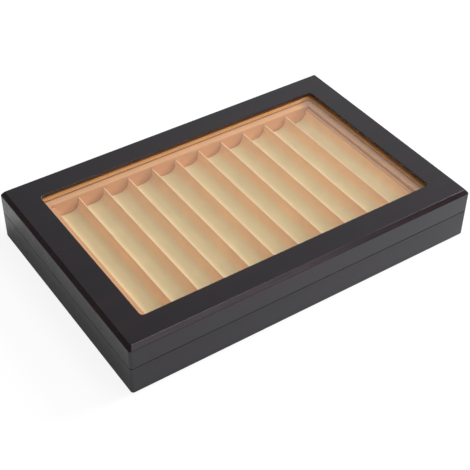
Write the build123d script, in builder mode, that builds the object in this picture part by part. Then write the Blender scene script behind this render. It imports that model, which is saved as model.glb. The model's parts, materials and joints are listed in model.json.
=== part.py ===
from build123d import *
from math import radians, tan
import os

# A display box for fountain pens: a lacquered box with a glass-topped lid over a lined tray.
# +Z is up, the front faces -Y and the hinges are at +Y.
# The origin is the centre of the underside. Sizes are in millimetres.

# Outer box
box_length = 340.0
box_width = 222.0
base_height = 27.5
lid_height = 22.5
corner_radius = 2.5
seam_ease = 0.5
seam_relief = 1.5
foot_ease = 0.4

# Lid
lid_side_thickness = 10.0
panel_thickness = 5.5
bevel_width = 3.1
bevel_drop = 3.6
bevel_corner_radius = 1.0
frame_width = 25.6
window_radius = 3.0
glass_thickness = 2.0
glass_overlap = 6.0
glass_clearance = 0.2
strip_height = 4.1

# Base
base_side_thickness = 11.0
bottom_thickness = 4.0
bottom_rebate = 5.0
bottom_clearance = 0.2
felt_thickness = 0.8
felt_inset = 3.0

# Lined tray
rim_gap = 0.8
rim_ledge = 6.0
rim_round = 0.8
channel_width = 23.12
channel_depth = 12.4
channel_radius = 8.5
ridge_thickness = 1.6
ridge_round = 0.7
ridge_drop = 2.4
end_border = 1.0
insert_floor = 2.0
insert_clearance = 0.5
rail_width = 12.0
rail_spacing = 110.0

# Closing magnets
magnet_radius = 3.0
magnet_thickness = 3.0
magnet_spacing = 120.0
magnet_recess = 0.1
magnet_clearance = 0.1

# Hinges
hinge_spacing = 190.0
hinge_length = 40.0
hinge_shoulder = 1.5
leaf_thickness = 1.4
knuckle_radius = 2.5
knuckle_gap = 0.2
knuckle_standoff = 0.4
pin_radius = 1.2
pin_clearance = 0.05
pin_ease = 0.3
mortise_clearance = 0.15
screw_head_radius = 1.9
screw_shank_radius = 0.9
screw_length = 7.0
screw_tip = 1.5
screw_spacing = 26.0
screw_recess = 0.05
screw_clearance = 0.1
countersink_angle = 82.0

# Heights that follow from the sizes above
box_height = base_height + lid_height
panel_underside = box_height - panel_thickness
strip_underside = panel_underside - strip_height
rim_top = strip_underside - rim_gap
ridge_top = rim_top - ridge_drop
insert_underside = ridge_top - channel_depth - insert_floor
bottom_top = felt_thickness + bottom_thickness

# Plan sizes that follow from the sizes above
half_length = box_length / 2
half_width = box_width / 2
window_length = box_length - 2 * frame_width
window_width = box_width - 2 * frame_width
rim_inset = frame_width + rim_ledge
insert_length = box_length - 2 * (rim_inset + insert_clearance)
insert_width = box_width - 2 * (rim_inset + insert_clearance)
channel_pitch = channel_width + ridge_thickness
channel_count = int((insert_length - 2 * end_border) // channel_pitch)
leaf_depth = lid_side_thickness - hinge_shoulder
hinge_axis_y = half_width + knuckle_standoff + knuckle_radius
hinge_places = [-hinge_spacing / 2, hinge_spacing / 2]
magnet_places = [(side * magnet_spacing / 2, lid_side_thickness / 2 - half_width) for side in (-1, 1)]
screw_y = half_width - leaf_depth / 2
screw_places = [(x + side * screw_spacing / 2, screw_y) for x in hinge_places for side in (-1, 1)]

# Corner points of the four mitred quarters of the box, seen from above
mitre_reach = half_length - half_width
mitres = {
    "front": [(-half_length, -half_width), (half_length, -half_width), (mitre_reach, 0), (-mitre_reach, 0)],
    "right": [(half_length, -half_width), (half_length, half_width), (mitre_reach, 0)],
    "back": [(half_length, half_width), (-half_length, half_width), (-mitre_reach, 0), (mitre_reach, 0)],
    "left": [(-half_length, half_width), (-half_length, -half_width), (-mitre_reach, 0)],
}

os.makedirs("parts", exist_ok=True)


def save(part, name):
    part.label = name
    export_step(part, f"parts/{name}.step")


def keep_quarter(side):
    """Cut the part being built back to one mitred quarter of the box."""
    with BuildSketch(Plane.XY) as quarter:
        Polygon(*mitres[side], align=None)
    extrude(quarter.sketch, amount=box_height, mode=Mode.INTERSECT)


def box_ring(low, high, thickness):
    """A wall of the given thickness with the box's rounded outside corners."""
    with BuildSketch(Plane.XY.offset(low)) as ring:
        RectangleRounded(box_length, box_width, corner_radius)
        Rectangle(box_length - 2 * thickness, box_width - 2 * thickness, mode=Mode.SUBTRACT)
    extrude(ring.sketch, amount=high - low)


def relieve_seam(seam_face):
    """Slope the seam face back at its outer edge, so that a fine dark line shows all round the box."""
    chamfer(seam_face.outer_wire().edges(), length=seam_relief, length2=seam_ease, reference=seam_face)


def hinge_mortises(low, high):
    """Pockets for the hinge leaves, open to the back of the box."""
    depth = leaf_depth + mortise_clearance
    with BuildSketch(Plane.XY.offset(low)) as pockets:
        with Locations(*[(x, half_width - depth / 2) for x in hinge_places]):
            Rectangle(hinge_length + 2 * mortise_clearance, depth)
    extrude(pockets.sketch, amount=high - low, mode=Mode.SUBTRACT)


def screw_holes(level, direction):
    """Pilot holes for the hinge screws, from the leaf's seat into the wood."""
    with BuildSketch(Plane.XY.offset(level)) as pilots:
        with Locations(*screw_places):
            Circle(screw_shank_radius + screw_clearance)
    extrude(pilots.sketch, amount=direction * (screw_length + screw_clearance), mode=Mode.SUBTRACT)


def magnet_pockets(direction):
    """Blind pockets for the closing magnets, from the seam into the wood."""
    with BuildSketch(Plane.XY.offset(base_height)) as pockets:
        with Locations(*magnet_places):
            Circle(magnet_radius + magnet_clearance)
    extrude(pockets.sketch, amount=direction * (magnet_thickness + magnet_recess), mode=Mode.SUBTRACT)


# Lid: a top panel with the window cut in it, rebated below for the glass
with BuildPart() as lid_top_panel:
    with BuildSketch(Plane.XY.offset(panel_underside)):
        RectangleRounded(box_length, box_width, corner_radius)
    extrude(amount=panel_thickness - bevel_drop)
    with BuildSketch(Plane.XY.offset(box_height - bevel_drop)):
        RectangleRounded(box_length, box_width, corner_radius)
    with BuildSketch(Plane.XY.offset(box_height)):
        RectangleRounded(box_length - 2 * bevel_width, box_width - 2 * bevel_width, bevel_corner_radius)
    loft(ruled=True)
    with BuildSketch(Plane.XY.offset(panel_underside)):
        RectangleRounded(window_length, window_width, window_radius)
    extrude(amount=panel_thickness, mode=Mode.SUBTRACT)
    with BuildSketch(Plane.XY.offset(panel_underside)):
        Rectangle(window_length + 2 * glass_overlap, window_width + 2 * glass_overlap)
    extrude(amount=glass_thickness, mode=Mode.SUBTRACT)
save(lid_top_panel.part, "lid_top_panel")

with BuildPart() as glass_pane:
    pane_growth = 2 * (glass_overlap - glass_clearance)
    with BuildSketch(Plane.XY.offset(panel_underside)):
        Rectangle(window_length + pane_growth, window_width + pane_growth)
    extrude(amount=glass_thickness)
save(glass_pane.part, "glass_pane")

# Lid sides, mitred at the corners, with the hinges let in at the back and magnets at the front
for side in mitres:
    with BuildPart() as lid_side:
        box_ring(base_height, panel_underside, lid_side_thickness)
        relieve_seam(lid_side.faces().sort_by(Axis.Z)[0])
        keep_quarter(side)
        if side == "back":
            hinge_mortises(base_height, base_height + leaf_thickness)
            screw_holes(base_height + leaf_thickness, 1)
        if side == "front":
            magnet_pockets(1)
    save(lid_side.part, f"lid_side_{side}")

# Lined strips under the top panel, which hold the glass in its rebate
for side in mitres:
    with BuildPart() as glass_strip:
        with BuildSketch(Plane.XY.offset(strip_underside)):
            Rectangle(box_length - 2 * lid_side_thickness, box_width - 2 * lid_side_thickness)
            RectangleRounded(window_length, window_width, window_radius, mode=Mode.SUBTRACT)
        extrude(amount=strip_height)
        keep_quarter(side)
    save(glass_strip.part, f"glass_strip_{side}")

# Base sides, mitred at the corners and rebated below for the bottom panel
for side in mitres:
    with BuildPart() as base_side:
        box_ring(felt_thickness, base_height, base_side_thickness)
        chamfer(base_side.faces().sort_by(Axis.Z)[0].outer_wire().edges(), length=foot_ease)
        relieve_seam(base_side.faces().sort_by(Axis.Z)[-1])
        rebate_inset = base_side_thickness - bottom_rebate
        with BuildSketch(Plane.XY.offset(felt_thickness)):
            Rectangle(box_length - 2 * rebate_inset, box_width - 2 * rebate_inset)
        extrude(amount=bottom_thickness, mode=Mode.SUBTRACT)
        keep_quarter(side)
        if side == "back":
            hinge_mortises(base_height - leaf_thickness, base_height)
            screw_holes(base_height - leaf_thickness, -1)
        if side == "front":
            magnet_pockets(-1)
    save(base_side.part, f"base_side_{side}")

with BuildPart() as bottom_panel:
    panel_inset = base_side_thickness - bottom_rebate + bottom_clearance
    with BuildSketch(Plane.XY.offset(felt_thickness)):
        Rectangle(box_length - 2 * panel_inset, box_width - 2 * panel_inset)
    extrude(amount=bottom_thickness)
save(bottom_panel.part, "bottom_panel")

with BuildPart() as underside_felt:
    with BuildSketch():
        RectangleRounded(box_length - 2 * felt_inset, box_width - 2 * felt_inset, corner_radius)
    extrude(amount=felt_thickness)
save(underside_felt.part, "underside_felt")

# Lined rim around the tray, which stands up inside the lid
for side in mitres:
    with BuildPart() as tray_rim:
        with BuildSketch(Plane.XY.offset(bottom_top)):
            Rectangle(box_length - 2 * base_side_thickness, box_width - 2 * base_side_thickness)
            Rectangle(box_length - 2 * rim_inset, box_width - 2 * rim_inset, mode=Mode.SUBTRACT)
        extrude(amount=rim_top - bottom_top)
        fillet(tray_rim.faces().sort_by(Axis.Z)[-1].edges(), radius=rim_round)
        keep_quarter(side)
    save(tray_rim.part, f"tray_rim_{side}")

# Lined insert with a row of rounded channels, one for each pen
with BuildPart() as pen_insert:
    with BuildSketch(Plane.XZ.offset(-insert_width / 2)) as insert_section:
        with Locations((0, insert_underside)):
            Rectangle(insert_length, ridge_top - insert_underside, align=(Align.CENTER, Align.MIN))
        with Locations((0, ridge_top)):
            with GridLocations(channel_pitch, 0, channel_count, 1):
                RectangleRounded(
                    channel_width,
                    2 * channel_depth,
                    min(channel_radius, 0.49 * channel_width, 0.98 * channel_depth),
                    mode=Mode.SUBTRACT,
                )
        crest_points = insert_section.vertices().group_by(Axis.Y)[-1]
        fillet(crest_points, radius=min(ridge_round, 0.45 * ridge_thickness))
    extrude(amount=insert_width)
save(pen_insert.part, "pen_insert")

# Cross rails that carry the insert
rail_places = {"left": -rail_spacing, "centre": 0, "right": rail_spacing}
for place, x in rail_places.items():
    with BuildPart() as tray_rail:
        with BuildSketch(Plane.XY.offset(bottom_top)):
            with Locations((x, 0)):
                Rectangle(rail_width, insert_width)
        extrude(amount=insert_underside - bottom_top)
    save(tray_rail.part, f"tray_rail_{place}")

# Two pairs of disc magnets that hold the lid shut
for name, low in (
    ("lid_magnets", base_height + magnet_recess),
    ("base_magnets", base_height - magnet_recess - magnet_thickness),
):
    with BuildPart() as magnets:
        with BuildSketch(Plane.XY.offset(low)):
            with Locations(*magnet_places):
                Circle(magnet_radius)
        extrude(amount=magnet_thickness)
    save(magnets.part, name)


def hinge_leaf(x, direction, knuckles, gaps):
    """A leaf let into the seam, above it for direction 1 and below it for -1.

    It carries the knuckles, and it stops short of the other leaf's knuckles at the gaps.
    Both lists hold low and high places along the hinge, measured from its middle.
    """
    with BuildPart() as leaf:
        with BuildSketch(Plane.XY.offset(base_height)):
            with Locations((x, half_width - leaf_depth)):
                Rectangle(hinge_length, leaf_depth, align=(Align.CENTER, Align.MIN))
            for low, high in knuckles:
                with Locations((x + low, half_width)):
                    reach = hinge_axis_y - half_width
                    Rectangle(high - low, reach, align=(Align.MIN, Align.MIN))
        extrude(amount=direction * leaf_thickness)
        for low, high in knuckles:
            with BuildSketch(Plane.YZ.offset(x + low)):
                with Locations((hinge_axis_y, base_height)):
                    Circle(knuckle_radius)
            extrude(amount=high - low)
        with BuildSketch(Plane.YZ.offset(x - hinge_length / 2)):
            with Locations((hinge_axis_y, base_height)):
                Circle(pin_radius + pin_clearance)
        extrude(amount=hinge_length, mode=Mode.SUBTRACT)
        face_up = Plane.XY.offset(base_height)
        face_down = Plane(origin=(0, 0, base_height), x_dir=(1, 0, 0), z_dir=(0, 0, -1))
        hole_plane = face_down if direction > 0 else face_up
        with Locations(hole_plane):
            flip = -direction
            with Locations(*[(px, flip * py) for px, py in screw_places if abs(px - x) < hinge_length / 2]):
                CounterSinkHole(
                    radius=screw_shank_radius + screw_clearance,
                    counter_sink_radius=screw_head_radius + screw_clearance,
                    depth=leaf_thickness,
                    counter_sink_angle=countersink_angle,
                )
    return leaf.part


# Butt hinges with three knuckles: the outer two on the lid's leaf, the middle one on the base's
knuckle_length = (hinge_length - 2 * knuckle_gap) / 3
outer_knuckles = [
    (-hinge_length / 2, -hinge_length / 2 + knuckle_length),
    (hinge_length / 2 - knuckle_length, hinge_length / 2),
]
middle_knuckle = [(-knuckle_length / 2, knuckle_length / 2)]
for hand, x in zip(("left", "right"), hinge_places):
    save(hinge_leaf(x, 1, outer_knuckles, middle_knuckle), f"hinge_lid_leaf_{hand}")
    save(hinge_leaf(x, -1, middle_knuckle, outer_knuckles), f"hinge_base_leaf_{hand}")
    with BuildPart() as hinge_pin:
        with BuildSketch(Plane.YZ.offset(x - hinge_length / 2)):
            with Locations((hinge_axis_y, base_height)):
                Circle(pin_radius)
        extrude(amount=hinge_length)
        chamfer(hinge_pin.edges().filter_by(GeomType.CIRCLE), length=pin_ease)
    save(hinge_pin.part, f"hinge_pin_{hand}")

# Countersunk wood screws: up into the lid and down into the base
head_height = (screw_head_radius - screw_shank_radius) / tan(radians(countersink_angle / 2))
for name, direction in (("hinge_lid_screws", 1), ("hinge_base_screws", -1)):
    with BuildPart() as screws:
        for x, y in screw_places:
            head_level = base_height + direction * screw_recess
            with BuildSketch(Plane(origin=(x, y, head_level), x_dir=(1, 0, 0), z_dir=(0, -1, 0))):
                with BuildLine():
                    Polyline(
                        (0, 0),
                        (screw_head_radius, 0),
                        (screw_shank_radius, direction * head_height),
                        (screw_shank_radius, direction * (screw_length - screw_tip)),
                        (0, direction * screw_length),
                        close=True,
                    )
                make_face()
            revolve(axis=Axis((x, y, 0), (0, 0, 1)))
    save(screws.part, name)
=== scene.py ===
import json
import math
from functools import lru_cache

import bmesh
import bpy
from mathutils import Euler, Matrix, Vector, noise


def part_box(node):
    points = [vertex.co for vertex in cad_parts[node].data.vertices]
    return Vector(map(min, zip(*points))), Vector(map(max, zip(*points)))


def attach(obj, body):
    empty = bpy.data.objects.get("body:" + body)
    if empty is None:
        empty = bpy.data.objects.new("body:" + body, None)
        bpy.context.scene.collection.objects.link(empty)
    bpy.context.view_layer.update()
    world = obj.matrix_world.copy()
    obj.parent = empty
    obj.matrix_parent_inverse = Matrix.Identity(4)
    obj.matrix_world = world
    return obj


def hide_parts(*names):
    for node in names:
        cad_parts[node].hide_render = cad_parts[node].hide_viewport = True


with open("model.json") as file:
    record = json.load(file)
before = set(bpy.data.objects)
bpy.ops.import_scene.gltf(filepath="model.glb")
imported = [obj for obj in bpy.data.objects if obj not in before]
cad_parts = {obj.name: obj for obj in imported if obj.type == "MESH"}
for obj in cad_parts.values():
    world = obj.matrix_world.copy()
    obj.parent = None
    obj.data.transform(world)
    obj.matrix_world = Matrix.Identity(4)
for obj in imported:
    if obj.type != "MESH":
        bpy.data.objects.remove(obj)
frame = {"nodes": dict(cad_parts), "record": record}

bl_info = {
    "name": "Fountain pen box",
    "version": (1, 0, 0),
    "blender": (4, 5, 0),
    "location": "View3D > Sidebar > Pen box",
    "description": "Finishes a lacquered display box with a glass lid and a suede-lined pen tray",
    "category": "Object",
}

MM = 0.001
SIDES = ("front", "right", "back", "left")
WHITE = (1.0, 1.0, 1.0, 1.0)

# How near two points count as one, and how near a point counts as on a plane
SAME_POINT = 0.001 * MM
ON_PLANE = 0.02 * MM
# The sloped faces at the seam reach less than this above and below it
SEAM_REACH = 0.7 * MM
# Faces that meet at less than the first angle are one face, and at more than the second an edge
FLAT_ANGLE = math.radians(0.6)
EDGE_ANGLE = math.radians(28)
MAGNET_EDGE = 0.25 * MM
# Between the two screws of one hinge leaf
SCREW_SPACING = 26 * MM

# Marks in the wood are this share as close together along the grain as across it
GRAIN_SHARE = 0.06

# Each lamp's place and width in metres, and its level
LAMPS = {
    "key_softbox": ((1.25, -0.20, 1.02), 0.5, 0.64),
    "front_softbox": ((0.36, -1.36, 0.85), 1.0, 0.17),
    "top_softbox": ((0.36, -0.20, 1.36), 0.6, 0.30),
}
# The surround: its even level for matt surfaces, and for shiny ones a pale wall in this direction,
# which fades to a dark side between these shares of it
AMBIENT_LEVEL = 0.40
WALL_DIRECTION = (0.8, 0.35, 0.0)
WALL_FADE = (0.1, 0.85)
WALL_LEVELS = (0.12, 0.86)
# The floor: half its width in metres, how far it lies below the felt, and how the camera sees it lifted
FLOOR_REACH = 6
FLOOR_GAP = 0.1 * MM
FLOOR_LIFT = 1.04
FLOOR_LIFT_SHARE = 0.84
BODY_OF_NODE = {
    node: body for body, nodes in frame["record"]["behaviour"]["bodies"].items() for node in nodes
}


def linear(hex_colour):
    """An sRGB hex colour as linear red, green, blue and alpha."""
    channels = [int(hex_colour[i:i + 2], 16) / 255 for i in (1, 3, 5)]
    return [c / 12.92 if c <= 0.04045 else ((c + 0.055) / 1.055) ** 2.4 for c in channels] + [1.0]


def length(name, description, millimetres):
    """A length property in metres with its default given in millimetres."""
    return bpy.props.FloatProperty(
        name=name, description=description, default=millimetres * MM, unit="LENGTH", subtype="DISTANCE",
        precision=5,
    )


def colour(name, description, hex_colour):
    """A colour property with its default given as an sRGB hex value."""
    return bpy.props.FloatVectorProperty(
        name=name, description=description, default=linear(hex_colour), size=4, subtype="COLOR", min=0, max=1
    )


class PenBoxSizes(bpy.types.PropertyGroup):
    lacquer_edge: length("Lacquered edge", "How far the lacquered edges are rounded", 0.45)
    lining_edge: length("Lining edge", "How far the suede-wrapped edges are rounded", 0.6)
    metal_edge: length("Metal edge", "How far the hinge leaves' edges are broken", 0.12)
    channel_width: length("Channel width", "Clear width of one pen channel", 23.12)
    channel_depth: length("Channel depth", "From the ridges down to the bottom of a channel", 12.4)
    channel_radius: length("Channel radius", "Radius between a channel's wall and bottom", 8.5)
    ridge_thickness: length("Ridge thickness", "Thickness of the ridge between two channels", 1.6)
    window_length: length("Window length", "Clear length of the window in the lid", 288.8)
    window_width: length("Window width", "Clear width of the window in the lid", 170.8)
    window_radius: length("Window radius", "Radius of the window's corners", 3.0)
    glue_line: length("Glue line", "Size of the glue line where the glass meets the wood", 0.25)
    nap_wave: length("Lining waviness", "Height of the unevenness of the padded lining", 0.10)
    screw_head: length("Screw head radius", "Radius of the hinge screws' heads", 1.9)
    screw_shank: length("Screw shank radius", "Radius of the hinge screws' shanks", 0.9)
    screw_length: length("Screw length", "Length of the hinge screws", 7.0)


class PenBoxColours(bpy.types.PropertyGroup):
    lacquer: colour("Lacquer", "Near-black espresso lacquer", "#141114")
    lacquer_warm: colour("Lacquer, warm", "Where the stain below shows through the lacquer", "#1f1516")
    lacquer_rubbed: colour("Lacquer, rubbed", "Red-brown stain along the lid's rubbed bevel", "#2d1819")
    lacquer_sheen: colour("Lacquer sheen", "Cool tint of the lacquer's shine", "#f4f3ff")
    # The streaked brown low on the window's cut edge
    window_edge: colour("Window edge", "Bare stained wood low on the window's cut edge", "#6a3412")
    # The darker red-brown high on the window's cut edge
    window_arris: colour("Window arris", "Stain along the window's rubbed upper edge", "#3a1d14")
    # Painted light: this brighter, more orange tan on the channel walls stands for their warm bounced light
    suede: colour("Suede", "Suede lining where its nap is brushed upright", "#f9cd9a")
    # On the insert's border this rim tone is painted shade for the gap beside the rim
    suede_rim_and_border_shade: colour("Suede, rim", "Suede lining of the rim and of the insert's border", "#d69a69")
    # Painted light: this paler, yellower tan on the channel bottoms stands for the light falling straight
    # onto them
    suede_painted_lit_bottom: colour("Suede, pale", "Suede lining where its nap is pressed flat", "#e0c99b")
    # Painted crest tone: the ridge tops' colour, set to the highlight line along them
    suede_painted_crest: colour("Suede, rubbed", "Suede lining along the rubbed tops of the ridges", "#efc198")
    suede_bloom: colour("Suede bloom", "Sheen of the suede at glancing angles", "#f3d9b4")
    suede_gold: colour("Strip lining", "Golden brown lining of the glass strips", "#dc9c5d")
    strip_bloom: colour("Strip bloom", "Sheen of the strips' lining at glancing angles", "#f0cf9a")
    # Painted shade: a dark band low on the strips stands for the shadow in the gap below them
    strip_painted_gap_shade: colour("Strip's cut edge", "Cut lower edge of the glass strips, left bare", "#7c4720")
    glass: colour("Glass", "Tint of the float glass", "#fbfefd")
    bead: colour("Glazing bead", "Amber glue line where the glass meets the wood", "#8f4d22")
    brass: colour("Brass", "Polished brass of the hinges", "#d9b46a")
    nickel: colour("Nickel", "Nickel plating of the magnets", "#c9c6bf")
    felt: colour("Felt", "Felt on the underside", "#1b1b1c")
    board: colour("Board", "Plain board of the bottom and rails", "#b08b60")
    floor: colour("Floor", "Studio floor", "#f4f4f4")


class PenBoxStudio(bpy.types.PropertyGroup):
    azimuth: bpy.props.FloatProperty(
        name="Azimuth", description="Camera azimuth, 0 looks along +Y", default=math.radians(-34.616),
        subtype="ANGLE", unit="ROTATION",
    )
    elevation: bpy.props.FloatProperty(
        name="Elevation", description="Camera height above the horizon", default=math.radians(41.190),
        subtype="ANGLE", unit="ROTATION",
    )
    roll: bpy.props.FloatProperty(
        name="Roll", description="Camera roll about its line of sight", default=math.radians(0.801),
        subtype="ANGLE", unit="ROTATION",
    )
    distance: length("Distance", "Camera to its target on the floor", 984.85)
    target_x: length("Target X", "Where the line of sight meets the floor, along X", -0.72)
    target_y: length("Target Y", "Where the line of sight meets the floor, along Y", -0.81)
    lens: bpy.props.FloatProperty(
        name="Lens", description="Focal length on a 36 mm sensor, in millimetres", default=84.69, min=1
    )


def sizes():
    return bpy.context.scene.pen_box_sizes


def colours():
    return bpy.context.scene.pen_box_colours


def add_node(tree, kind, settings=None, inputs=None):
    """Add one node, set its properties, and fill or link its inputs. Inputs go by name or number."""
    node = tree.nodes.new(kind)
    for name, value in (settings or {}).items():
        setattr(node, name, value)
    for name, value in (inputs or {}).items():
        if isinstance(value, bpy.types.NodeSocket):
            tree.links.new(value, node.inputs[name])
        else:
            node.inputs[name].default_value = value
    return node


def new_material(name):
    """An empty node material; its tree is filled by the caller, up to the surface given to close."""
    material = bpy.data.materials.new(name)
    material.use_nodes = True
    material.node_tree.nodes.clear()
    return material, material.node_tree


def close(tree, surface):
    add_node(tree, "ShaderNodeOutputMaterial", inputs={"Surface": surface})


def per_mm(feature):
    """Texture scale for object coordinates in metres that gives features of that many millimetres."""
    return 1000.0 / feature


def object_place(tree):
    """Where a point lies on its own object, in metres."""
    return add_node(tree, "ShaderNodeTexCoord").outputs["Object"]


def part_of(tree, vector, axis):
    """One of a vector's parts, by its axis X, Y or Z."""
    return add_node(tree, "ShaderNodeSeparateXYZ", inputs={"Vector": vector}).outputs[axis]


def stretch(tree, place, scale):
    """The place with each of its parts scaled."""
    return add_node(tree, "ShaderNodeMapping", inputs={"Vector": place, "Scale": scale}).outputs["Vector"]


def noise_field(tree, place, feature, detail, roughness=0.5, distortion=0.0):
    """Noise from about 0 to 1, with features of that many millimetres."""
    return add_node(tree, "ShaderNodeTexNoise", inputs={
        "Vector": place, "Scale": per_mm(feature), "Detail": detail, "Roughness": roughness,
        "Distortion": distortion,
    }).outputs["Fac"]


def map_range(tree, value, source=(0.0, 1.0), target=(0.0, 1.0), curve="LINEAR"):
    """Carry a value from the source range to the target range, and no further."""
    return add_node(tree, "ShaderNodeMapRange", {"interpolation_type": curve}, {
        "Value": value, "From Min": source[0], "From Max": source[1],
        "To Min": target[0], "To Max": target[1],
    }).outputs["Result"]


def maths(tree, operation, *values):
    return add_node(tree, "ShaderNodeMath", {"operation": operation}, dict(enumerate(values))).outputs[0]


def mix_colours(tree, factor, first, second):
    """The first colour where the factor is 0, and the second where it is 1."""
    # A Mix node takes its two colours at inputs 6 and 7, and gives a colour at output 2
    return add_node(tree, "ShaderNodeMix", {"data_type": "RGBA"}, {
        "Factor": factor, 6: first, 7: second}).outputs[2]


def mix_shaders(tree, factor, first, second):
    """The first shader where the factor is 0, and the second where it is 1."""
    return add_node(tree, "ShaderNodeMixShader", inputs={0: factor, 1: first, 2: second}).outputs[0]


def vary_value(tree, tint, value):
    """A colour with its brightness multiplied by the value."""
    return add_node(tree, "ShaderNodeHueSaturation", inputs={"Color": tint, "Value": value}).outputs["Color"]


def bump(tree, height, strength, depth):
    """A bumped normal, with its depth in millimetres."""
    return add_node(tree, "ShaderNodeBump", inputs={
        "Height": height, "Strength": strength, "Distance": depth * MM}).outputs["Normal"]


def close_principled(tree, inputs):
    close(tree, add_node(tree, "ShaderNodeBsdfPrincipled", inputs=inputs).outputs["BSDF"])


def height_share(tree, place, start, end):
    """How far a point has climbed from the start height to the end height, from 0 to 1."""
    return map_range(tree, part_of(tree, place, "Z"), (start, end), curve="SMOOTHSTEP")


@lru_cache
def lacquer(axis, rubbed=False):
    """Espresso lacquer, sprayed over stained wood and rubbed to satin.

    The eye sees a near-black board with a soft broad shine, faint warm clouds where the stain
    shows through, and fine pores drawn out along the grain. Where rubbing has thinned the lacquer,
    streaks of the red-brown stain show.
    """
    material, tree = new_material(f"espresso_satin_lacquer_on_wood_{axis}{'_rubbed' if rubbed else ''}")
    place = object_place(tree)
    grain = {"x": (GRAIN_SHARE, 1.0, 1.0), "y": (1.0, GRAIN_SHARE, 1.0)}[axis]
    grain_place = stretch(tree, place, grain)
    # Clouds of stain 14 mm across the grain
    clouds = noise_field(tree, grain_place, 14, detail=3.0, roughness=0.55)
    cloud_mix = map_range(tree, clouds, (0.40, 0.72))
    tint = mix_colours(tree, cloud_mix, colours().lacquer, colours().lacquer_warm)
    if rubbed:
        # Streaks 2 mm wide and some 30 mm long, along the grain
        streaks = noise_field(tree, grain_place, 2, detail=4.0, roughness=0.6)
        worn = map_range(tree, streaks, (0.36, 0.66))
        tint = mix_colours(tree, worn, tint, colours().lacquer_rubbed)
    # Pores 0.9 mm across the grain, coarser than real ones so that they show
    pores = noise_field(tree, grain_place, 0.9, detail=4.0, roughness=0.6)
    # The rubbing leaves patches 22 mm across that are a little duller
    shine = noise_field(tree, place, 22, detail=2.0)
    close_principled(tree, {
        "Base Color": tint,
        "Roughness": map_range(tree, shine, (0.3, 0.7), (0.20, 0.28)),
        "Normal": bump(tree, pores, strength=0.10, depth=0.04),
        "IOR": 1.50,
        "Specular Tint": colours().lacquer_sheen,
    })
    return material


@lru_cache
def window_edge_lacquer():
    """The cut edge round the window: streaked brown low down, turning darker towards the top."""
    material, tree = new_material("window_edge_brown_to_dark")
    place = object_place(tree)
    glass_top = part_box("glass_pane")[1][2]
    panel_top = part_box("lid_top_panel")[1][2]
    climb = height_share(tree, place, glass_top - 0.4 * MM, panel_top - 1.4 * MM)
    streaks = noise_field(tree, place, 6, detail=3.0)
    # Streaked brown for the low part of the edge
    bare = vary_value(tree, colours().window_edge, map_range(tree, streaks, target=(0.6, 1.3)))
    close_principled(tree, {
        "Base Color": mix_colours(tree, climb, bare, colours().window_arris),
        "Roughness": 0.35,
        "IOR": 1.50,
    })
    return material


@lru_cache
def suede(pressed):
    """Microfibre suede, glued over the padded tray.

    The eye sees a soft matt tan with a bloom at glancing angles. Where it is pressed into channels,
    its colour carries painted light and shade: paler and yellower at their bottoms, where light falls
    straight in, a brighter, more orange tan up the walls for their warm bounced light, a painted crest
    tone a shade duller along the ridges, and the darker rim tone on the border as painted shade.
    """
    material, tree = new_material("tan_microfibre_suede_pressed" if pressed else "tan_microfibre_suede")
    place = object_place(tree)
    if pressed:
        # The channels' colour carries painted light and shade, set by height
        nap = channel_painted_light(tree, place)
    else:
        # The rim's nap lies one way, with a faint drift of tone along it
        drift = noise_field(tree, place, 60, detail=1.0)
        nap = vary_value(tree, colours().suede_rim_and_border_shade, map_range(tree, drift, target=(0.96, 1.04)))
    # Brushed patches in the nap, about 20 mm across
    patches = noise_field(tree, place, 20, detail=4.0, roughness=0.6)
    patch_value = map_range(tree, patches, (0.3, 0.7), (0.95, 1.04))
    # Single fibres are too fine to show, so their flecks are drawn 0.5 mm across
    flecks = noise_field(tree, place, 0.5, detail=3.0, roughness=0.7)
    fleck_value = map_range(tree, flecks, (0.3, 0.7), (0.965, 1.025))
    close_principled(tree, {
        "Base Color": vary_value(tree, nap, maths(tree, "MULTIPLY", patch_value, fleck_value)),
        "Roughness": 0.85,
        "Normal": bump(tree, flecks, strength=0.35, depth=0.12),
        "IOR": 1.45,
        "Sheen Weight": 0.25, "Sheen Roughness": 0.45, "Sheen Tint": colours().suede_bloom,
        "Specular IOR Level": 0.25,
    })
    return material


def channel_painted_light(tree, place):
    """Painted light and shade in the colour of the insert's suede, from the bottoms of its channels up to its
    ridges and border.
    """
    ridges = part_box("pen_insert")[1][2]
    bottoms = ridges - sizes().channel_depth
    # Painted light and shade: a paler, yellower tan low in the channels stands for the light falling straight
    # onto their bottoms, and the upright tan above it for the warmer bounced light on the walls
    above = height_share(tree, place, bottoms + 0.1 * MM, bottoms + 5 * MM)
    hollow = mix_colours(tree, above, colours().suede_painted_lit_bottom, colours().suede)
    # Painted crest tone on the ridge tops, and on the border beyond the last channels the darker rim tone as
    # painted shade for the gap beside the rim
    reach = maths(tree, "ABSOLUTE", part_of(tree, place, "X"))
    last_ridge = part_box("pen_insert")[1][0] - sizes().channel_width
    on_ridges = maths(tree, "LESS_THAN", reach, last_ridge)
    top = mix_colours(tree, on_ridges, colours().suede_rim_and_border_shade, colours().suede_painted_crest)
    # Over their top 2 mm the ridges and border take that painted tone
    crest = height_share(tree, place, ridges - 2.2 * MM, ridges - 0.6 * MM)
    return mix_colours(tree, crest, hollow, top)


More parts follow.
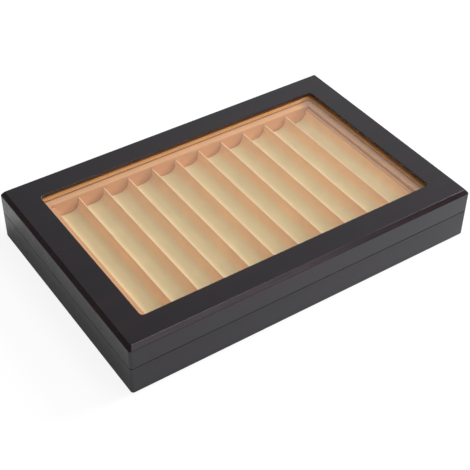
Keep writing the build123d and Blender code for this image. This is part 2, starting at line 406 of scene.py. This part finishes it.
@lru_cache
def strip_lining():
    """Golden brown suede on the strips under the glass, with a tighter and smoother nap than the tray's.

    A thin dark band low on their upright faces is painted shade, for the shadow in the gap between the strips
    and the rim below.
    """
    material, tree = new_material("golden_brown_suede")
    place = object_place(tree)
    # Flecks 0.45 mm across
    flecks = noise_field(tree, place, 0.45, detail=3.0, roughness=0.65)
    fleck_value = map_range(tree, flecks, (0.3, 0.7), (0.93, 1.05))
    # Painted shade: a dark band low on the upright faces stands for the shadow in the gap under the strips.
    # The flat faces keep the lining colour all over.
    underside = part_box("glass_strip_back")[0][2]
    raised = height_share(tree, place, underside + 0.5 * MM, underside + 0.9 * MM)
    normal = add_node(tree, "ShaderNodeTexCoord").outputs["Normal"]
    flat = maths(tree, "ABSOLUTE", part_of(tree, normal, "Z"))
    lined = maths(tree, "MAXIMUM", raised, flat)
    shade = mix_colours(tree, lined, colours().strip_painted_gap_shade, colours().suede_gold)
    close_principled(tree, {
        "Base Color": vary_value(tree, shade, fleck_value),
        "Roughness": 0.7,
        "Normal": bump(tree, flecks, strength=0.3, depth=0.08),
        "IOR": 1.45,
        "Sheen Weight": 0.15, "Sheen Roughness": 0.4, "Sheen Tint": colours().strip_bloom,
        "Specular IOR Level": 0.35,
    })
    return material


@lru_cache
def float_glass():
    """Clear float glass, polished on both faces. It lets the lamps light what lies below it."""
    material, tree = new_material("clear_float_glass")
    # Faint wipe marks, about 40 mm across, which only soften the reflections
    smears = noise_field(tree, object_place(tree), 40, detail=2.0)
    glass = add_node(tree, "ShaderNodeBsdfPrincipled", inputs={
        "Base Color": colours().glass, "Roughness": map_range(tree, smears, (0.4, 0.7), (0.0, 0.03)),
        "IOR": 1.50, "Transmission Weight": 1.0,
    }).outputs["BSDF"]
    clear = add_node(tree, "ShaderNodeBsdfTransparent", inputs={"Color": colours().glass}).outputs["BSDF"]
    path = add_node(tree, "ShaderNodeLightPath").outputs
    lets_light = maths(tree, "MAXIMUM", path["Is Shadow Ray"], path["Is Diffuse Ray"])
    close(tree, mix_shaders(tree, lets_light, glass, clear))
    return material


@lru_cache
def glue_bead():
    """A thin line of clear amber glue, brushed smooth, that shines where the glass meets the wood."""
    material, tree = new_material("amber_glue_line")
    # Ripples 8 mm long, left by the brush
    ripples = noise_field(tree, object_place(tree), 8, detail=2.0)
    close_principled(tree, {
        "Base Color": vary_value(tree, colours().bead, map_range(tree, ripples, target=(0.8, 1.1))),
        "Roughness": 0.25,
        "IOR": 1.47,
    })
    return material


@lru_cache
def brass():
    """Stamped brass, polished and lacquered: a warm metal with faint rolling marks and soft reflections."""
    material, tree = new_material("polished_stamped_brass")
    # Rolling marks 0.4 mm apart and 8 mm long, along the hinge
    marks = noise_field(tree, stretch(tree, object_place(tree), (0.05, 1, 1)), 0.4, detail=3.0)
    close_principled(tree, {
        "Base Color": colours().brass,
        "Metallic": 1.0,
        "Roughness": map_range(tree, marks, (0.3, 0.7), (0.18, 0.32)),
        "Normal": bump(tree, marks, strength=0.06, depth=0.02),
    })
    return material


@lru_cache
def nickel():
    """Nickel-plated sintered magnet: a bright plated metal with a faint grain."""
    material, tree = new_material("nickel_plated_magnet")
    # The sintered grain is drawn 0.3 mm across
    grain = noise_field(tree, object_place(tree), 0.3, detail=2.0)
    close_principled(tree, {
        "Base Color": colours().nickel,
        "Metallic": 1.0,
        "Roughness": map_range(tree, grain, target=(0.16, 0.30)),
    })
    return material


@lru_cache
def felt():
    """Pressed wool felt: matt and black, with tangled fibres that catch a little light."""
    material, tree = new_material("pressed_wool_felt")
    # Fibres are drawn 0.8 mm long so that they show
    fibres = noise_field(tree, object_place(tree), 0.8, detail=6.0, roughness=0.75, distortion=1.2)
    close_principled(tree, {
        "Base Color": vary_value(tree, colours().felt, map_range(tree, fibres, (0.3, 0.7), (0.6, 1.9))),
        "Roughness": 0.95,
        "Normal": bump(tree, fibres, strength=0.6, depth=0.3),
        "IOR": 1.45,
        "Sheen Weight": 0.3, "Sheen Roughness": 0.5,
    })
    return material


@lru_cache
def board():
    """Sanded fibreboard, left plain: an even light brown with short pressed fibres."""
    material, tree = new_material("sanded_fibreboard")
    # Fibres 1.5 mm long
    fibres = noise_field(tree, object_place(tree), 1.5, detail=6.0, roughness=0.7)
    close_principled(tree, {
        "Base Color": vary_value(tree, colours().board, map_range(tree, fibres, (0.3, 0.7), (0.85, 1.1))),
        "Roughness": 0.8,
        "IOR": 1.5,
    })
    return material


@lru_cache
def paper_sweep():
    """White paper. The camera sees it lifted to white, and the object's shadow stays on it.

    From below it is clear, so that the underside can be looked at.
    """
    material, tree = new_material("white_paper_sweep")
    paper = add_node(tree, "ShaderNodeBsdfDiffuse", inputs={"Color": colours().floor}).outputs["BSDF"]
    seen = add_node(tree, "ShaderNodeLightPath").outputs["Is Camera Ray"]
    lift = add_node(tree, "ShaderNodeEmission", inputs={
        "Color": WHITE, "Strength": FLOOR_LIFT}).outputs["Emission"]
    top = mix_shaders(tree, maths(tree, "MULTIPLY", seen, FLOOR_LIFT_SHARE), paper, lift)
    below = add_node(tree, "ShaderNodeNewGeometry").outputs["Backfacing"]
    clear = add_node(tree, "ShaderNodeBsdfTransparent").outputs["BSDF"]
    close(tree, mix_shaders(tree, below, top, clear))
    return material


def finish_node(name, material):
    """Give a CAD node that keeps its own mesh its material."""
    mesh = frame["nodes"][name].data
    mesh.materials.clear()
    mesh.materials.append(material)


def new_object(name, shape, materials):
    """Turn a bmesh into an object with its materials, and free it."""
    mesh = bpy.data.meshes.new(name)
    shape.to_mesh(mesh)
    shape.free()
    for material in materials:
        mesh.materials.append(material)
    made = bpy.data.objects.new(name, mesh)
    bpy.context.scene.collection.objects.link(made)
    return made


def new_piece(name, shape, materials, node):
    """Turn a bmesh into a piece that stands for a CAD node and rides on that node's body."""
    piece = new_object(name, shape, materials)
    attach(piece, BODY_OF_NODE[node])
    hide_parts(node)
    return piece


def smooth(piece, angle):
    """Smooth shading that breaks at edges sharper than the angle, in degrees."""
    for face in piece.data.polygons:
        face.use_smooth = True
    piece.data.set_sharp_from_angle(angle=math.radians(angle))


def smooth_over(piece, angle=40):
    """Smooth shading that breaks at sharp edges, with the flat faces kept flat."""
    smooth(piece, angle)
    weights = piece.modifiers.new("flat_faces_lead", "WEIGHTED_NORMAL")
    weights.keep_sharp = True
    # Of 1 to 100, where 100 lets the largest faces lead most
    weights.weight = 100


def bridge(mesh, rows):
    """Faces between each closed row of vertices and the next."""
    for row, following in zip(rows, rows[1:]):
        for i in range(len(row)):
            j = (i + 1) % len(row)
            mesh.faces.new((row[i], row[j], following[j], following[i]))


def on_mitre(point):
    """True for a point in one of the four mitre planes, which run in from the box's corners at 45 degrees."""
    low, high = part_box("lid_top_panel")
    reach = (high[0] - low[0]) / 2 - (high[1] - low[1]) / 2
    return abs(abs(point.x) - abs(point.y) - reach) < ON_PLANE


def at_joint(point):
    """True for a point on the seam's sloped faces, or where the lid's sides are glued to its panel."""
    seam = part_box("base_side_front")[1][2]
    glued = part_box("lid_side_front")[1][2]
    return abs(point.z - seam) < SEAM_REACH or abs(point.z - glued) < ON_PLANE


def eased_mesh(node, width, segments=3):
    """A node's own mesh with its sharp edges rounded, apart from those at its mitres and joints."""
    mesh = bmesh.new()
    mesh.from_mesh(frame["nodes"][node].data)
    bmesh.ops.remove_doubles(mesh, verts=mesh.verts, dist=SAME_POINT)
    bmesh.ops.dissolve_limit(
        mesh, angle_limit=FLAT_ANGLE, verts=mesh.verts, edges=mesh.edges, use_dissolve_boundaries=False
    )
    sharp = [
        edge for edge in mesh.edges
        if len(edge.link_faces) == 2
        and edge.calc_face_angle(0) > EDGE_ANGLE
        and not (on_mitre(edge.verts[0].co) and on_mitre(edge.verts[1].co))
        and not (at_joint(edge.verts[0].co) and at_joint(edge.verts[1].co))
    ]
    bmesh.ops.bevel(
        mesh, geom=sharp, offset=width, offset_type="OFFSET", segments=segments, profile=0.5,
        affect="EDGES", clamp_overlap=True,
    )
    return mesh


class PENBOX_OT_lid_panel(bpy.types.Operator):
    """Lacquered top panel, with stain showing along its rubbed bevel, and a window edge that is brown low
    down and darker towards the top
    """
    bl_idname = "penbox.lid_panel"
    bl_label = "Lid panel"

    def execute(self, context):
        mesh = eased_mesh("lid_top_panel", sizes().lacquer_edge)
        finishes = [lacquer("x"), window_edge_lacquer(), lacquer("x", rubbed=True)]
        window_edge, bevel = 1, 2
        # How far the normals of upright faces may rise, and between what the bevel's do
        upright_rise = 0.5
        bevel_rise = (0.2, 0.95)
        glass_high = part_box("glass_pane")[1]
        for face in mesh.faces:
            centre = face.calc_center_median()
            inside = abs(centre.x) < glass_high[0] and abs(centre.y) < glass_high[1]
            if inside and abs(face.normal.z) < upright_rise:
                face.material_index = window_edge
            elif not inside and bevel_rise[0] < face.normal.z < bevel_rise[1]:
                face.material_index = bevel
        smooth_over(new_piece("lid_panel_lacquered", mesh, finishes, "lid_top_panel"))
        return {"FINISHED"}


class PENBOX_OT_box_sides(bpy.types.Operator):
    """Lacquered sides of the lid and the base, with rounded edges and tight mitres"""
    bl_idname = "penbox.box_sides"
    bl_label = "Box sides"

    def execute(self, context):
        for part in ("lid_side", "base_side"):
            for side in SIDES:
                node = f"{part}_{side}"
                grain = "x" if side in ("front", "back") else "y"
                mesh = eased_mesh(node, sizes().lacquer_edge)
                smooth_over(new_piece(f"{node}_lacquered", mesh, [lacquer(grain)], node))
        return {"FINISHED"}


class PENBOX_OT_glass(bpy.types.Operator):
    """Glass pane, and the line of glue that shows where it meets the window's edge"""
    bl_idname = "penbox.glass"
    bl_label = "Glass pane"

    def execute(self, context):
        finish_node("glass_pane", float_glass())
        self.add_glue_line()
        return {"FINISHED"}

    def add_glue_line(self):
        """A hollow quarter round, swept along the window's edge with its flat faces on glass and wood"""
        corner_steps, round_steps = 8, 4
        size = sizes()
        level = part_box("glass_pane")[1][2]
        radius = size.window_radius
        straight_x = size.window_length / 2 - radius
        straight_y = size.window_width / 2 - radius
        # Each corner's signs in X and Y, and the angle at which its arc starts
        corners = ((1, -1, 270), (1, 1, 0), (-1, 1, 90), (-1, -1, 180))
        rings = []
        mesh = bmesh.new()
        for sign_x, sign_y, start in corners:
            centre = Vector((sign_x * straight_x, sign_y * straight_y, 0))
            for corner_step in range(corner_steps + 1):
                angle = math.radians(start + 90 * corner_step / corner_steps)
                outward = Vector((math.cos(angle), math.sin(angle), 0))
                point = centre + outward * radius
                ring = []
                for step in range(round_steps + 1):
                    angle = math.radians(90 * step / round_steps)
                    inset = size.glue_line * (1 - math.sin(angle))
                    height = size.glue_line * (1 - math.cos(angle))
                    ring.append(mesh.verts.new(point - outward * inset + Vector((0, 0, level + height))))
                ring.append(mesh.verts.new(point + Vector((0, 0, level))))
                rings.append(ring)
        bridge(mesh, rings + rings[:1])
        bmesh.ops.recalc_face_normals(mesh, faces=mesh.faces)
        line = new_object("window_glue_line", mesh, [glue_bead()])
        smooth(line, 50)
        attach(line, "lid")


class PENBOX_OT_linings(bpy.types.Operator):
    """Suede-wrapped strips under the glass and rim round the tray, with soft edges"""
    bl_idname = "penbox.linings"
    bl_label = "Linings"

    def execute(self, context):
        for side in SIDES:
            node = f"glass_strip_{side}"
            mesh = eased_mesh(node, sizes().lining_edge * 0.5)
            smooth_over(new_piece(f"{node}_lined", mesh, [strip_lining()], node))
            node = f"tray_rim_{side}"
            mesh = eased_mesh(node, sizes().lining_edge)
            smooth_over(new_piece(f"{node}_lined", mesh, [suede(False)], node))
        return {"FINISHED"}


def arc(centre, radius, start, end, steps):
    """Points on an arc in the XZ plane, with angles in degrees from +X towards +Z."""
    angles = [math.radians(start + (end - start) * i / steps) for i in range(steps + 1)]
    return [(centre[0] + radius * math.cos(a), centre[1] + radius * math.sin(a)) for a in angles]


def channel_outline(low, high):
    """The top outline of the insert from left to right: rounded ridges and the channels between them."""
    size = sizes()
    pitch = size.channel_width + size.ridge_thickness
    # Both borders together take at least this much of the length
    borders = 2 * MM
    count = int((high[0] - low[0] - borders) // pitch)
    # Just under half a ridge, so that a narrow step is left between a crest and the channel's wall
    crest = size.ridge_thickness / 2 * 0.98
    half = size.channel_width / 2
    radius = size.channel_radius
    top = high[2]
    bottom = top - size.channel_depth
    # The border's edges: towards a channel, and towards the insert's end
    wall_round, end_round = 0.7 * MM, 1.1 * MM
    wall_steps, end_steps, channel_steps, crest_steps = 5, 6, 12, 8
    outline = arc((low[0] + end_round, top - end_round), end_round, 180, 90, end_steps)
    for index in range(count):
        middle = (index - (count - 1) / 2) * pitch
        left, right = middle - half, middle + half
        if index == 0:
            outline += arc((left - wall_round, top - wall_round), wall_round, 90, 0, wall_steps)
        outline += arc((left + radius, bottom + radius), radius, 180, 270, channel_steps)
        outline += arc((right - radius, bottom + radius), radius, 270, 360, channel_steps)
        if index == count - 1:
            outline += arc((right + wall_round, top - wall_round), wall_round, 180, 90, wall_steps)
        else:
            outline += arc((right + crest, top - crest), crest, 180, 0, crest_steps)
    return outline + arc((high[0] - end_round, top - end_round), end_round, 90, 0, end_steps)


def insert_rows(start, end, end_round):
    """The insert's cross sections from front to back, each with its Y and how far its top drops."""
    steps, end_steps = 60, 2
    rows = []
    for step in range(-end_steps, steps + end_steps + 1):
        # The first and last rows sink as they run out, which rounds the insert's ends
        inner = min(max(step, 0), steps)
        y = start + end_round + (end - start - 2 * end_round) * inner / steps
        turn = math.pi / 2 * max(-step, step - steps, 0) / end_steps
        y += math.copysign(end_round * math.sin(turn), step - steps / 2)
        rows.append((y, end_round * (1 - math.cos(turn))))
    return rows


class PENBOX_OT_pen_insert(bpy.types.Operator):
    """Padded insert with a row of rounded pen channels, wrapped in suede"""
    bl_idname = "penbox.pen_insert"
    bl_label = "Pen insert"

    def execute(self, context):
        low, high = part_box("pen_insert")
        outline = channel_outline(low, high)
        mesh = bmesh.new()
        rows = []
        for y, drop in insert_rows(low[1], high[1], sizes().lining_edge * 0.4):
            row = []
            for x, z in outline:
                # The padding's waves are 26 mm long, with others of 9 mm at half the height
                place = Vector((x, y, z))
                wave = noise.noise(place * per_mm(26)) + 0.5 * noise.noise(place * per_mm(9))
                row.append(mesh.verts.new((x, y, z - drop + wave * sizes().nap_wave)))
            row.append(mesh.verts.new((high[0], y, low[2])))
            row.append(mesh.verts.new((low[0], y, low[2])))
            rows.append(row)
        bridge(mesh, rows)
        mesh.faces.new(rows[0])
        mesh.faces.new(reversed(rows[-1]))
        bmesh.ops.recalc_face_normals(mesh, faces=mesh.faces)
        smooth(new_piece("pen_insert_lined", mesh, [suede(True)], "pen_insert"), 50)
        return {"FINISHED"}


class PENBOX_OT_hinges(bpy.types.Operator):
    """Brass butt hinges: leaves with broken edges, and their pins"""
    bl_idname = "penbox.hinges"
    bl_label = "Hinges"

    def execute(self, context):
        for hand in ("left", "right"):
            for leaf in ("lid", "base"):
                node = f"hinge_{leaf}_leaf_{hand}"
                mesh = eased_mesh(node, sizes().metal_edge, segments=2)
                smooth_over(new_piece(f"{node}_polished", mesh, [brass()], node), 35)
            finish_node(f"hinge_pin_{hand}", brass())
        return {"FINISHED"}


def screw_rings(around):
    """A screw's outline from its head to its tip, as rings of so many radii and heights."""
    size = sizes()
    head, shank, total = size.screw_head, size.screw_shank, size.screw_length
    core = shank * 0.78
    head_height = (head - shank) / math.tan(math.radians(41))
    thread_start, thread_end = head_height + 0.4 * MM, total - 1.5 * MM
    turns, turn_steps = 6, 6
    thread_steps = turns * turn_steps
    rings = [[point] * around for point in ((head * 0.97, 0.0), (head, 0.06 * MM), (shank, head_height))]
    for step in range(thread_steps + 1):
        z = thread_start + (thread_end - thread_start) * step / thread_steps
        phases = [(step / turn_steps + i / around) % 1.0 for i in range(around)]
        rings.append([(core + (shank - core) * (1 - abs(2 * phase - 1)), z) for phase in phases])
    rings.append([(core * 0.25, total - 0.1 * MM)] * around)
    return rings


def sink_recess(mesh, head_ring):
    """Close a screw's head inside its first ring, round a cross that is sunk to form the recess."""
    head = sizes().screw_head
    arm, half, depth = head * 0.62, head * 0.16, head * 0.55
    # The cross narrows to this share at its bottom
    taper = 0.8
    # Eight outer and four inner corners
    cross = [
        (arm, -half), (arm, half), (half, half), (half, arm), (-half, arm), (-half, half),
        (-arm, half), (-arm, -half), (-half, -half), (-half, -arm), (half, -arm), (half, -half),
    ]
    rim = [mesh.verts.new((x, y, 0)) for x, y in cross]
    floor = [mesh.verts.new((x * taper, y * taper, depth)) for x, y in cross]
    for i in range(len(cross)):
        j = (i + 1) % len(cross)
        mesh.faces.new((rim[i], floor[i], floor[j], rim[j]))
    mesh.faces.new(floor)
    edges = [
        mesh.edges.get((ring[i], ring[(i + 1) % len(ring)]))
        for ring in (rim, head_ring) for i in range(len(ring))
    ]
    bmesh.ops.triangle_fill(mesh, edges=edges, use_beauty=True)


def screw_mesh():
    """One countersunk screw with a thread and a crossed recess, its head at z 0 facing down, its tip up."""
    around = 32
    mesh = bmesh.new()
    layers = []
    for ring in screw_rings(around):
        layer = []
        for i, (r, z) in enumerate(ring):
            angle = 2 * math.pi * i / around
            layer.append(mesh.verts.new((r * math.cos(angle), r * math.sin(angle), z)))
        layers.append(layer)
    bridge(mesh, layers)
    tip = mesh.verts.new((0, 0, sizes().screw_length))
    for i in range(around):
        mesh.faces.new((layers[-1][i], layers[-1][(i + 1) % around], tip))
    sink_recess(mesh, layers[0])
    bmesh.ops.recalc_face_normals(mesh, faces=mesh.faces)
    return mesh


class PENBOX_OT_screws(bpy.types.Operator):
    """Countersunk brass screws with crossed recesses, each turned a little differently"""
    bl_idname = "penbox.screws"
    bl_label = "Hinge screws"

    def execute(self, context):
        one = screw_mesh()
        template = bpy.data.meshes.new("screw_template")
        one.to_mesh(template)
        one.free()
        for node, flip in (("hinge_lid_screws", False), ("hinge_base_screws", True)):
            low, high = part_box(node)
            y = (low[1] + high[1]) / 2
            level = high[2] if flip else low[2]
            outer = high[0] - sizes().screw_head
            inner = outer - SCREW_SPACING
            mesh = bmesh.new()
            for number, x in enumerate((-outer, -inner, inner, outer)):
                start = len(mesh.verts)
                mesh.from_mesh(template)
                mesh.verts.ensure_lookup_table()
                # 17 degrees for the first screw, and 37 more for each one after it
                spin = math.radians(17 + 37 * number)
                turn = Euler((math.pi if flip else 0, 0, spin)).to_matrix().to_4x4()
                place = Matrix.Translation((x, y, level)) @ turn
                bmesh.ops.transform(mesh, matrix=place, verts=mesh.verts[start:])
            smooth_over(new_piece(f"{node}_crosshead", mesh, [brass()], node), 30)
        bpy.data.meshes.remove(template)
        return {"FINISHED"}


class PENBOX_OT_magnets(bpy.types.Operator):
    """Nickel-plated disc magnets in the front rims, with broken edges"""
    bl_idname = "penbox.magnets"
    bl_label = "Magnets"

    def execute(self, context):
        for node in ("lid_magnets", "base_magnets"):
            mesh = eased_mesh(node, MAGNET_EDGE)
            smooth_over(new_piece(f"{node}_plated", mesh, [nickel()], node))
        return {"FINISHED"}


class PENBOX_OT_underside(bpy.types.Operator):
    """Bottom board, tray rails, and the felt that the box stands on"""
    bl_idname = "penbox.underside"
    bl_label = "Underside"

    def execute(self, context):
        finish_node("underside_felt", felt())
        for node in ("bottom_panel", "tray_rail_left", "tray_rail_centre", "tray_rail_right"):
            finish_node(node, board())
        return {"FINISHED"}


def soft_box(name, place, width, level):
    """A square area lamp aimed at the origin.

    Its level is what it adds to a white card at the origin that faces it.
    """
    light = bpy.data.lights.new(name, "AREA")
    light.shape = "SQUARE"
    light.size = width
    offset = Vector(place)
    light.energy = level * math.pi * math.pi * offset.length_squared
    lamp = bpy.data.objects.new(name, light)
    lamp.matrix_world = Matrix.Translation(place) @ offset.to_track_quat("Z", "Y").to_matrix().to_4x4()
    bpy.context.scene.collection.objects.link(lamp)


class PENBOX_OT_stage(bpy.types.Operator):
    """White studio floor, soft lamps, and the camera at the photograph's viewing angle"""
    bl_idname = "penbox.stage"
    bl_label = "Studio"

    def execute(self, context):
        scene = context.scene
        scene.view_settings.view_transform = "Standard"
        self.add_floor()
        self.add_world(scene)
        for name, (place, width, level) in LAMPS.items():
            soft_box(name, place, width, level)
        self.add_camera(scene)
        return {"FINISHED"}

    def add_floor(self):
        shape = bmesh.new()
        bmesh.ops.create_grid(shape, x_segments=8, y_segments=8, size=FLOOR_REACH)
        floor = new_object("studio_floor", shape, [paper_sweep()])
        # A hair below the felt, so that the two faces don't fight
        floor.location.z = -FLOOR_GAP

    def add_world(self, scene):
        world = bpy.data.worlds.new("studio_surround")
        world.use_nodes = True
        tree = world.node_tree
        tree.nodes.clear()
        path = add_node(tree, "ShaderNodeLightPath").outputs
        # Shiny surfaces mirror a large pale wall behind at the right, and a darker left side
        direction = add_node(tree, "ShaderNodeTexCoord").outputs["Generated"]
        to_wall = add_node(tree, "ShaderNodeVectorMath", {"operation": "DOT_PRODUCT"}, {
            0: direction, 1: WALL_DIRECTION}).outputs["Value"]
        wall = map_range(tree, to_wall, WALL_FADE, WALL_LEVELS, curve="SMOOTHSTEP")
        # Matt surfaces get one even level from all round
        level = add_node(tree, "ShaderNodeMix", inputs={
            "Factor": path["Is Glossy Ray"], "A": AMBIENT_LEVEL, "B": wall}).outputs["Result"]
        ambient, backdrop = (
            add_node(tree, "ShaderNodeBackground", inputs={"Color": WHITE, "Strength": strength}).outputs[0]
            for strength in (level, 1.0)
        )
        # The camera sees plain white, also through the glass
        seen = maths(tree, "MAXIMUM", path["Is Camera Ray"], path["Is Transmission Ray"])
        surface = mix_shaders(tree, seen, ambient, backdrop)
        add_node(tree, "ShaderNodeOutputWorld", inputs={"Surface": surface})
        scene.world = world

    def add_camera(self, scene):
        studio = scene.pen_box_studio
        a, e = studio.azimuth, studio.elevation
        forward = Vector((-math.sin(a) * math.cos(e), math.cos(a) * math.cos(e), -math.sin(e)))
        right = forward.cross(Vector((0, 0, 1))).normalized()
        up = right.cross(forward)
        rolled_right = right * math.cos(studio.roll) + up * math.sin(studio.roll)
        rolled_up = up * math.cos(studio.roll) - right * math.sin(studio.roll)
        place = Vector((studio.target_x, studio.target_y, 0)) - forward * studio.distance
        axes = Matrix((rolled_right, rolled_up, -forward)).transposed().to_4x4()
        data = bpy.data.cameras.new("photo_camera")
        data.sensor_width = 36.0
        data.lens = studio.lens
        camera = bpy.data.objects.new("photo_camera", data)
        camera.matrix_world = Matrix.Translation(place) @ axes
        scene.collection.objects.link(camera)
        scene.camera = camera


PIECES = (
    PENBOX_OT_lid_panel, PENBOX_OT_box_sides, PENBOX_OT_glass, PENBOX_OT_linings, PENBOX_OT_pen_insert,
    PENBOX_OT_hinges, PENBOX_OT_screws, PENBOX_OT_magnets, PENBOX_OT_underside, PENBOX_OT_stage,
)


class PENBOX_PT_sidebar(bpy.types.Panel):
    """Lists the box's sizes, colours and pieces"""
    bl_idname = "PENBOX_PT_sidebar"
    bl_label = "Pen box"
    bl_space_type = "VIEW_3D"
    bl_region_type = "UI"
    bl_category = "Pen box"

    def draw(self, context):
        scene = context.scene
        for group in (scene.pen_box_sizes, scene.pen_box_colours, scene.pen_box_studio):
            column = self.layout.column(align=True)
            for name in group.bl_rna.properties.keys():
                if name not in ("rna_type", "name"):
                    column.prop(group, name)
        for piece in PIECES:
            self.layout.operator(piece.bl_idname)


GROUPS = {"pen_box_sizes": PenBoxSizes, "pen_box_colours": PenBoxColours, "pen_box_studio": PenBoxStudio}


def register():
    for group in GROUPS.values():
        bpy.utils.register_class(group)
    for name, group in GROUPS.items():
        setattr(bpy.types.Scene, name, bpy.props.PointerProperty(type=group))
    for piece in PIECES:
        bpy.utils.register_class(piece)
    bpy.utils.register_class(PENBOX_PT_sidebar)


def unregister():
    bpy.utils.unregister_class(PENBOX_PT_sidebar)
    for piece in reversed(PIECES):
        bpy.utils.unregister_class(piece)
    for name, group in GROUPS.items():
        delattr(bpy.types.Scene, name)
        bpy.utils.unregister_class(group)


def main():
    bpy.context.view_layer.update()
    register()
    bpy.ops.penbox.lid_panel()
    bpy.ops.penbox.box_sides()
    bpy.ops.penbox.glass()
    bpy.ops.penbox.linings()
    bpy.ops.penbox.pen_insert()
    bpy.ops.penbox.hinges()
    bpy.ops.penbox.screws()
    bpy.ops.penbox.magnets()
    bpy.ops.penbox.underside()
    bpy.ops.penbox.stage()


if __name__ == "__main__":
    main()
